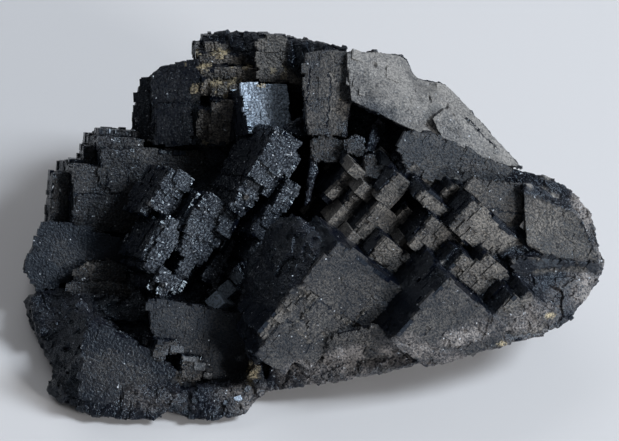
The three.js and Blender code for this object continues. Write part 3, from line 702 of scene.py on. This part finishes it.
def buildBlocks(points, masks, faces):
    # Small crystals in parallel growth: boxes along the axes of the crystal that they sit on.
    rng = np.random.default_rng(11)
    count = blocks["count"]
    owner, axis = faces["owner"], faces["axis"]
    common = np.where((owner >= 0) & (points[:, 2] > blocks["lowest"]), finish("blocks")[owner], 0)
    common = common * np.where(axis == 2, 1.0, blocks["onWalls"]) / finish("blockSize")[owner] ** 2
    common = common * (masks["broken"] < blocks["broken"])
    chosen = rng.choice(len(points), count, replace=False, p=common / common.sum())
    index, axis, inside = owner[chosen], axis[chosen], faces["inside"][chosen]
    frames = np.take_along_axis(turns[index], axis[:, None, None], 2)[:, :, 0]
    side = np.sign((frames * faces["normals"][chosen]).sum(1))
    out = frames * side[:, None]
    first = np.take_along_axis(turns[index], ((axis + 1) % 3)[:, None, None], 2)[:, :, 0]
    second = np.cross(out, first)
    size = finish("blockSize")[index] * np.exp(rng.normal(0, blocks["spread"], count))
    stretch = np.exp(rng.uniform(-1, 1, count) * 0.5 * math.log(blocks["longest"]))
    share, extra = blocks["room"]
    halfFirst = np.minimum(size * stretch, inside * share + extra)
    halfSecond = np.minimum(size / stretch, inside * share + extra)
    low, high = blocks["proud"]
    proud = (low + (high - low) * rng.random(count) ** 2) * finish("relief")[index]
    shift = dentShift(points[chosen])
    proud = np.where(np.linalg.norm(shift, axis=1) < blocks["askew"], proud, blocks["hidden"])
    slope = rng.uniform(-1, 1, (2, count)) * blocks["tilt"]
    rise = [proud + slope[0] * a * halfFirst + slope[1] * b * halfSecond for a, b in boxCorners]
    sunk = np.full(count, blocks["sunk"])
    piece, verts, each = boxMesh("growthBlocks", points[chosen] + shift, first, second, out,
                                 halfFirst, halfSecond, rise, sunk)
    carried = {name: values[chosen][each] for name, values in masks.items()}
    carried["frost"] = carried["frost"] * rng.uniform(*blocks["frost"], count)[each]
    u, v = cellPlace(verts, index[each], axis[each])
    giveMasks(piece.data, carried, np.stack([u, v, cellTag(index[each], axis[each])], 1))
    print("growth blocks", count)
    return piece


# Single small crystals: the middle of the top face in the growth frame, the crystal whose axes they share
# or their own turn, lean and nod (degrees), half of each side and the depth (mm), frost and satin; the
# satin's painted bluish sheen brightens the first crystals, which sit in the shade of a pit.
singles = [
    ((-19.9, -15.1, 33.2), (41, -14, -22), 1.7, 1.65, 7, 0.1, 1.0),
    ((-17.5, -12.6, 31.4), (41, -6, -12), 1.5, 1.45, 7, 0.1, 0.45),
    ((-15.6, -10.2, 29.8), (41, 0, -8), 1.1, 1.2, 6, 0.1, 0.2),
    ((-14.9, -34.1, 43.9), (20, 14, -30), 0.8, 0.5, 3, 0.1, 0.8),
    ((-17.2, -35.0, 44.4), (-15, -12, -26), 0.6, 0.5, 3, 0.1, 0.3),
    ((-12.9, -32.2, 43.2), (55, 18, -8), 0.7, 0.5, 3, 0.2, 0.2),
    ((-29.9, -24.8, 44.9), "apron", 1.1, 0.6, 3, 0.3, 0.1),
    ((-27.1, -24.4, 42.9), "apron", 1.4, 0.7, 4, 0.25, 0.1),
    ((-24.5, -26.4, 42.7), "apron", 1.5, 0.5, 4, 0.3, 0.1),
    ((-22.6, -27.9, 42.1), "apron", 1.2, 0.8, 4, 0.25, 0.1),
    ((-21.1, -30.0, 38.6), "apron", 0.9, 0.7, 3, 0.3, 0.1),
    ((9.8, 10.6, 38.2), "checkerboard", 2.9, 1.2, 5, 0.4, 0),
    ((10.9, 7.1, 38.9), "checkerboard", 2.1, 1.5, 5, 0.42, 0),
    ((15.8, 6.5, 40.4), "checkerboard", 2.2, 2.4, 5, 0.42, 0),
    ((14.4, 1.1, 39.2), "checkerboard", 2.5, 2.8, 5, 0.45, 0),
    ((5.8, 1.9, 36.8), "checkerboard", 1.7, 2.3, 5, 0.45, 0),
    ((7.9, -2.6, 40.4), "checkerboard", 1.3, 1.8, 5, 0.4, 0),
    ((17.9, 9.1, 40.9), "checkerboard", 1.7, 1.2, 5, 0.35, 0),
    ((5.3, 7.3, 35.6), "checkerboard", 1.0, 1.2, 5, 0.4, 0),
    ((18.8, 2.1, 38.4), "checkerboard", 0.8, 1.5, 5, 0.35, 0),
    ((18.3, -2.8, 40.6), "checkerboard", 0.8, 1.1, 5, 0.45, 0),
]
singleWear = 0.12  # mm, width of their worn edges
singleTag = 300  # pattern numbers from here on, clear of the large crystals'


def buildSingles():
    # The single crystals as closed boxes with worn edges, each turned as its own list says.
    tilts = [crystals[how] if isinstance(how, str) else dict(turn=how[0], lean=how[1], nod=how[2])
             for _, how, *_ in singles]
    frames = np.array([crystalTurn(tilt) for tilt in tilts])
    middles = np.array([single[0] for single in singles]) @ turnX(growthLean).T + growthOrigin
    halfFirst, halfSecond, sunk, frost, satinAndPaintedSheen = np.array([single[2:] for single in singles], float).T
    level = [np.zeros(len(singles))] * 4
    piece, verts, each = boxMesh("singleCrystals", middles, *frames.transpose(2, 0, 1),
                                 halfFirst, halfSecond, level, sunk)
    local = np.einsum("nij,ni->nj", frames[each], verts - middles[each])
    top = np.tile([0.0] * 4 + [1.0] * 4, len(singles))
    # The painted sheen is full on each top face and 0.15 of that on the sides, painted as a highlight on
    # the top.
    masks = {"frost": frost[each], "matte": frost[each], "satinAndPaintedSheen": satinAndPaintedSheen[each] * np.clip(top + 0.15, 0, 1),
             "bead": np.full(len(each), 0.15)}
    tag = cellTag(each, 0) + singleTag
    giveMasks(piece.data, masks, np.stack([local[:, 0] + 3 * top, local[:, 1], tag], 1))
    bevel = piece.modifiers.new("worn", "BEVEL")
    bevel.width = singleWear * mm
    bevel.segments = 2
    print("single crystals", len(singles))
    return piece


def place(tree, kind, **inputs):
    # A new node; nodes lie in rows, in the order they are made.
    row, column = divmod(len(tree.nodes), 8)
    node = tree.nodes.new(kind)
    node.location = (220 * column, -260 * row)
    for name, value in inputs.items():
        node.inputs[name].default_value = value
    return node


def join(tree, node, socket, value):
    if isinstance(value, bpy.types.NodeSocket):
        tree.links.new(value, node.inputs[socket])
    else:
        node.inputs[socket].default_value = value


def maths(tree, kind, a, b=0.0, c=0.0, clamp=False):
    node = place(tree, "ShaderNodeMath")
    node.operation = kind
    node.use_clamp = clamp
    for socket, value in enumerate((a, b, c)):
        join(tree, node, socket, value)
    return node.outputs[0]


def vectorMaths(tree, kind, *values):
    node = place(tree, "ShaderNodeVectorMath")
    node.operation = kind
    for socket, value in enumerate(values):
        join(tree, node, socket, value)
    return node.outputs["Value" if kind == "DOT_PRODUCT" else "Vector"]


def noise(tree, coords, scale, detail, roughness=0.5):
    node = place(tree, "ShaderNodeTexNoise", Scale=scale, Detail=detail, Roughness=roughness)
    join(tree, node, "Vector", coords)
    return node


def blendColours(tree, factor, a, b):
    node = place(tree, "ShaderNodeMix")
    node.data_type = "RGBA"
    for socket, value in ((0, factor), (6, a), (7, b)):
        join(tree, node, socket, value)
    return node.outputs[2]


def mask(tree, name):
    node = place(tree, "ShaderNodeAttribute")
    node.attribute_name = name
    return node.outputs["Vector" if name == "cells" else "Fac"]


def squareGap(tree, coords, scale):
    # Seams of a square mosaic: the second nearest cell's distance less the nearest's, zero along a seam.
    found = []
    for feature in ("F1", "F2"):
        node = place(tree, "ShaderNodeTexVoronoi", Scale=scale, Randomness=0.9)
        node.feature = feature
        node.distance = "CHEBYCHEV"
        join(tree, node, "Vector", coords)
        found.append(node.outputs["Distance"])
    return maths(tree, "SUBTRACT", found[1], found[0]), found[0]


fluorite = {
    "fresh": (0.0025, 0.004, 0.0095, 1),
    "frosted": (0.276, 0.259, 0.236, 1),
    # painted bluish sheen: a colour that stands for the reflection of the bright sky on satin faces
    "paintedSheen": (0.5, 0.62, 0.78, 1),
    "dust": (0.25, 0.235, 0.23, 1),
    "crust": (0.44, 0.38, 0.26, 1),
    # painted glints: bright specks that stand for highlights on tiny facets
    "paintedGlint": (0.62, 0.68, 0.76, 1),
    "reflected": (0.66, 0.83, 1.0, 1),
    "ior": 1.434,
    "grainScale": 2300.0,  # per m, as are the next two
    "patchScale": 170.0,
    "paintedGlintScale": 1500.0,
    "grainContrast": 6.5,
    "grainSoft": 0.7,  # share of that contrast which full frost takes away
    "patchContrast": 2.6,
    "cobbles": 1.45,  # per mm
    "openBlocks": 0.34,  # per mm
    "seamEdge": 7.0,  # how sharply the cobbles' seams end
    "openEdge": 22.0,  # the same for the open cracks
    "seamClean": 0.95,  # share of the frost that seams lack
    "crackClean": 0.92,
    "crackBend": 2.6,  # mm
    "crackBendScale": 420.0,  # per m
    "crackEdge": 9.0,  # per mm, how sharply a crack ends aside
    "paintedGlintShare": 0.075,  # how much commoner glints are on lively surfaces
    "paintedGlintEdge": 14.0,
    "shine": 0.11,  # roughness of fresh faces
    "dull": 0.5,  # added by the frost
    "satinDull": 0.6,  # share of that which satin and matte faces get
    "matteDull": 1.25,
    "bumpMm": 0.16,
    "cobbleBump": -3.2,  # times the bump, as are the next three
    "wallBump": 1.4,
    "seamBump": -0.4,
    "crackBump": -1.2,
}
# Cracks: the crystal, and the line's two ends on its top in mm.
cracks = [
    ("front", -8, -2.5, 0, -2.5), ("front", -7.3, -3, -7.3, -9.5), ("front", -4.2, -3, -4.2, -9),
    ("front", -7, -9.2, -4.5, -9.2), ("front", -7, -10, -7, -14), ("front", 1.3, -7, 1.3, -13),
    ("front", 1.3, -1.5, 6.5, -3), ("front", 6, -3, 6, 4), ("front", 5, 5, 9, 5),
    ("backMiddle", -0.4, -7.5, 0.2, 5), ("backMiddle", -4.4, -3, -4.1, 6),
    ("left", -9.8, -1, -9.8, 3.5), ("left", -5, 0, -5, 5), ("left", -14.8, -1.2, -9.4, -1.2),
    ("rightTop", -4.5, -4.2, 6.9, 0.8), ("backRight", 6, 8, 11, 6), ("backRight", 10, -2, 10.5, 4),
]


def crackMask(tree, cells, coords):
    # One on the cracks: each is a straight line, as wide as a hair, that noise bends; a point's distances
    # along it and aside of it are dot products with its direction and with that turned by a right angle.
    # It shows only on its own crystal's top, which the tag tells.
    bend = noise(tree, coords, fluorite["crackBendScale"], 3.0, 0.6).outputs["Color"]
    far = fluorite["crackBend"]
    shift = vectorMaths(tree, "MULTIPLY_ADD", bend, (far, far, 0), (-far / 2, -far / 2, 0))
    bent = vectorMaths(tree, "ADD", shift, cells)
    parts = place(tree, "ShaderNodeSeparateXYZ")
    join(tree, parts, 0, cells)
    found = 0.0
    for name, startU, startV, endU, endV in cracks:
        length = math.hypot(endU - startU, endV - startV)
        way = ((endU - startU) / length, (endV - startV) / length)
        off = vectorMaths(tree, "SUBTRACT", bent, ((startU + endU) / 2, (startV + endV) / 2, 0))
        along, aside = (
            maths(tree, "ABSOLUTE", vectorMaths(tree, "DOT_PRODUCT", off, (*direction, 0)))
            for direction in (way, (-way[1], way[0])))
        near = maths(tree, "MULTIPLY_ADD", aside, -fluorite["crackEdge"], 1.9, clamp=True)
        ended = maths(tree, "MULTIPLY_ADD", along, -2.0, length, clamp=True)
        here = maths(tree, "COMPARE", parts.outputs[2], cellTag(names.index(name), 2), 0.4)
        line = maths(tree, "MULTIPLY", maths(tree, "MULTIPLY", near, ended), here)
        found = maths(tree, "MAXIMUM", line, found)
    return found


def fluoriteMaterial():
    material = bpy.data.materials.new("blackFluorite")
    material.use_nodes = True
    tree = material.node_tree
    tree.nodes.clear()
    shader = place(tree, "ShaderNodeBsdfPrincipled", IOR=fluorite["ior"])
    shader.inputs["Specular Tint"].default_value = fluorite["reflected"]
    output = place(tree, "ShaderNodeOutputMaterial")
    join(tree, output, 0, shader.outputs[0])
    maskNames = ("frost", "broken", "dust", "bead", "wall", "satinAndPaintedSheen", "matte", "deposit")
    frost, broken, dust, bead, wall, satinAndPaintedSheen, matte, crust = (mask(tree, name) for name in maskNames)
    cells = mask(tree, "cells")
    coords = place(tree, "ShaderNodeTexCoord").outputs["Object"]

    # Fine grain, softer where the frost is strong, and patches where the frost is thicker or thinner.
    grain = noise(tree, coords, fluorite["grainScale"], 2.0, 0.65).outputs[0]
    patch = noise(tree, coords, fluorite["patchScale"], 4.0, 0.6).outputs[0]
    contrast = fluorite["grainContrast"]
    speckle = maths(tree, "MULTIPLY_ADD", grain, contrast, 1 - 0.5 * contrast)
    speckle = maths(tree, "MAXIMUM", speckle, 0.1)
    softer = maths(tree, "MULTIPLY_ADD", frost, -fluorite["grainSoft"], 1.0)
    speckle = maths(tree, "MULTIPLY_ADD", maths(tree, "SUBTRACT", speckle, 1.0), softer, 1.0)
    thick = maths(tree, "MULTIPLY_ADD", patch, fluorite["patchContrast"], -0.3)

    # Square seams between the cobbles, open cracks of the larger blocks in places, and the long cracks.
    fineGap, fineCell = squareGap(tree, cells, fluorite["cobbles"])
    wideGap, _ = squareGap(tree, cells, fluorite["openBlocks"])
    seam = maths(tree, "MULTIPLY_ADD", fineGap, -fluorite["seamEdge"], 1.0, clamp=True)
    seam = maths(tree, "MULTIPLY", seam, maths(tree, "MULTIPLY_ADD", bead, 0.8, 0.1))
    wideSeam = maths(tree, "MULTIPLY_ADD", wideGap, -fluorite["openEdge"], 1.0, clamp=True)
    opened = maths(tree, "MULTIPLY_ADD", patch, 7.0, -3.9, clamp=True)
    crack = maths(tree, "MULTIPLY", wideSeam, opened)
    crack = maths(tree, "MAXIMUM", crack, crackMask(tree, cells, coords))

    # Colours one over the other: fresh, frosted, dust, painted sheen, crust and painted glints.
    bloom = maths(tree, "MULTIPLY", maths(tree, "MULTIPLY", frost, speckle), thick)
    clean = maths(tree, "MULTIPLY_ADD", seam, -fluorite["seamClean"], 1.0)
    uncracked = maths(tree, "MULTIPLY_ADD", crack, -fluorite["crackClean"], 1.0)
    clean = maths(tree, "MULTIPLY", clean, uncracked)
    bloom = maths(tree, "MULTIPLY", bloom, clean, clamp=True)
    colour = blendColours(tree, bloom, fluorite["fresh"], fluorite["frosted"])
    dusty = maths(tree, "MULTIPLY", maths(tree, "MULTIPLY", speckle, thick), thick)
    dusty = maths(tree, "MULTIPLY", dust, dusty, clamp=True)
    colour = blendColours(tree, dusty, colour, fluorite["dust"])
    # Painted sheen: a bluish colour mixed in where there is satin, standing for a reflection.
    paintedSheenShare = maths(tree, "MULTIPLY", satinAndPaintedSheen, maths(tree, "MULTIPLY", clean, thick))
    paintedSheenShare = maths(tree, "MULTIPLY", paintedSheenShare, maths(tree, "MULTIPLY_ADD", speckle, 0.6, 0.3), clamp=True)
    colour = blendColours(tree, paintedSheenShare, colour, fluorite["paintedSheen"])
    rusty = maths(tree, "MULTIPLY", crust, speckle, clamp=True)
    colour = blendColours(tree, rusty, colour, fluorite["crust"])
    # Painted glints: tiny bright specks in the colour that stand for highlights on small facets, commonest
    # on broken and cobbled surfaces.
    paintedGlintChance = maths(tree, "MAXIMUM", maths(tree, "MULTIPLY_ADD", dust, 1.3, 0.2), bead)
    paintedGlintNoise = noise(tree, coords, fluorite["paintedGlintScale"], 1.0).outputs[0]
    paintedGlint = maths(tree, "MULTIPLY_ADD", paintedGlintChance, fluorite["paintedGlintShare"], paintedGlintNoise)
    paintedGlint = maths(tree, "MULTIPLY_ADD", paintedGlint, fluorite["paintedGlintEdge"], -10.6, clamp=True)
    colour = blendColours(tree, paintedGlint, colour, fluorite["paintedGlint"])
    join(tree, shader, "Base Color", colour)

    # Roughness: the shine of fresh faces, and more with bloom, dust, satin or matte, whichever is most.
    dull = maths(tree, "MAXIMUM", bloom, maths(tree, "MULTIPLY", dusty, 0.6))
    dull = maths(tree, "MULTIPLY", dull, 3.0, clamp=True)
    dull = maths(tree, "MAXIMUM", dull, maths(tree, "MULTIPLY", satinAndPaintedSheen, fluorite["satinDull"]))
    dull = maths(tree, "MAXIMUM", dull, maths(tree, "MULTIPLY", matte, fluorite["matteDull"]))
    rough = maths(tree, "MULTIPLY_ADD", dull, fluorite["dull"], fluorite["shine"])
    join(tree, shader, "Roughness", rough)

    # Height in the bump's own unit: grain, cobbles where the growth is beaded, lines along the walls, and
    # the seams and cracks cut in.
    lines = noise(tree, vectorMaths(tree, "MULTIPLY", cells, (0.5, 3.2, 1.0)), 1.0, 2.0, 0.6).outputs[0]
    grainy = maths(tree, "MULTIPLY_ADD", maths(tree, "MAXIMUM", dull, broken), 1.7, 0.3)
    height = maths(tree, "MULTIPLY", grain, grainy)
    cobble = maths(tree, "MULTIPLY", bead, fineCell)
    height = maths(tree, "MULTIPLY_ADD", cobble, fluorite["cobbleBump"], height)
    striped = maths(tree, "MULTIPLY", wall, lines)
    height = maths(tree, "MULTIPLY_ADD", striped, fluorite["wallBump"], height)
    height = maths(tree, "MULTIPLY_ADD", seam, fluorite["seamBump"], height)
    height = maths(tree, "MULTIPLY_ADD", crack, fluorite["crackBump"], height)
    bump = place(tree, "ShaderNodeBump", Strength=1.0, Distance=fluorite["bumpMm"] * mm)
    join(tree, bump, "Height", height)
    join(tree, shader, "Normal", bump.outputs[0])
    return material


def plainMaterial(name, colour, roughness):
    material = bpy.data.materials.new(name)
    material.use_nodes = True
    shader = material.node_tree.nodes["Principled BSDF"]
    shader.inputs["Base Color"].default_value = colour
    shader.inputs["Roughness"].default_value = roughness
    return material


stage = {
    "floorSize": 4.0,  # m
    "floorColour": (0.72, 0.73, 0.76, 1),
    "floorRoughness": 0.55,
    "lensMm": 161.2,
    "sensorMm": 36,
    "pictureWidth": 619,  # pixels
    "shift": (-2.5, 7.5),  # pixels
    "distance": 0.6,  # m
    "elevation": 42.0,  # degrees
    "sky": (0.95, 0.95, 0.95, 1),
    "skyStrength": 0.11,
    "skyLean": 0.6,  # how much brighter it is at the right than at the middle
}
# Each panel's direction, distance and sides in m, power and colour.
panels = {
    "window": dict(towards=(0.74, -0.04, 0.67), distance=1.7, size=(0.5, 0.5),
                   watts=25.5, colour=(0.88, 0.94, 1.0)),
    "fill": dict(towards=(0.7, -0.66, 0.32), distance=0.9, size=(0.16, 0.16),
                 watts=4.2, colour=(1.0, 0.97, 0.94)),
    "back": dict(towards=(-0.35, 0.75, 0.7), distance=1.0, size=(1.2, 0.6),
                 watts=2.6, colour=(0.98, 0.98, 1.0)),
}


def buildStage():
    half = stage["floorSize"] / 2
    mesh = bpy.data.meshes.new("tableTop")
    mesh.from_pydata([(a * half, b * half, 0) for a, b in boxCorners], [], [(0, 1, 2, 3)])
    floor = bpy.data.objects.new("tableTop", mesh)
    bpy.context.scene.collection.objects.link(floor)
    mesh.materials.append(plainMaterial("paleTable", stage["floorColour"], stage["floorRoughness"]))
    floor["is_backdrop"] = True
    for name, panel in panels.items():
        light = bpy.data.lights.new(name, "AREA")
        light.shape = "RECTANGLE"
        light.size, light.size_y = panel["size"]
        light.energy = panel["watts"]
        light.color = panel["colour"]
        lamp = bpy.data.objects.new(name, light)
        direction = Vector(panel["towards"]).normalized()
        lamp.location = direction * panel["distance"]
        lamp.rotation_euler = direction.to_track_quat("Z", "Y").to_euler()
        bpy.context.scene.collection.objects.link(lamp)
    world = bpy.data.worlds.new("room")
    world.use_nodes = True
    sky = world.node_tree
    sky.nodes["Background"].inputs["Color"].default_value = stage["sky"]
    way = place(sky, "ShaderNodeSeparateXYZ")
    join(sky, way, 0, place(sky, "ShaderNodeTexCoord").outputs["Generated"])
    strength = stage["skyStrength"]
    bright = maths(sky, "MULTIPLY_ADD", way.outputs[0], stage["skyLean"] * strength, strength)
    join(sky, sky.nodes["Background"], "Strength", bright)
    bpy.context.scene.world = world
    bpy.context.scene.view_settings.view_transform = "Standard"


def buildCamera():
    camera = bpy.data.cameras.new("camera")
    camera.lens = stage["lensMm"]
    camera.sensor_width = stage["sensorMm"]
    camera.shift_x, camera.shift_y = (pixels / stage["pictureWidth"] for pixels in stage["shift"])
    eye = bpy.data.objects.new("camera", camera)
    tilt = math.radians(90 - stage["elevation"])
    back = Vector((0, -math.sin(tilt), math.cos(tilt)))
    eye.location = Vector(growthOrigin * mm) + back * stage["distance"]
    eye.rotation_euler = (tilt, 0, 0)
    bpy.context.scene.collection.objects.link(eye)
    bpy.context.scene.camera = eye


buildStage()
buildCamera()
print("stage set")
left, leftSkin, leftMasks, leftFaces = buildHalf("Left")
right, rightSkin, rightMasks, rightFaces = buildHalf("Right")
joined = [{name: np.concatenate([one[name], other[name]]) for name in one}
          for one, other in ((leftMasks, rightMasks), (leftFaces, rightFaces))]
grown = buildBlocks(np.concatenate([leftSkin, rightSkin]), *joined)
alone = buildSingles()
finishedFluorite = fluoriteMaterial()
for piece in (left, right, grown, alone):
    piece.data.materials.append(finishedFluorite)
    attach(piece, "root")
    if piece in (left, right):
        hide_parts("fluorite_cluster")
print("cluster done")
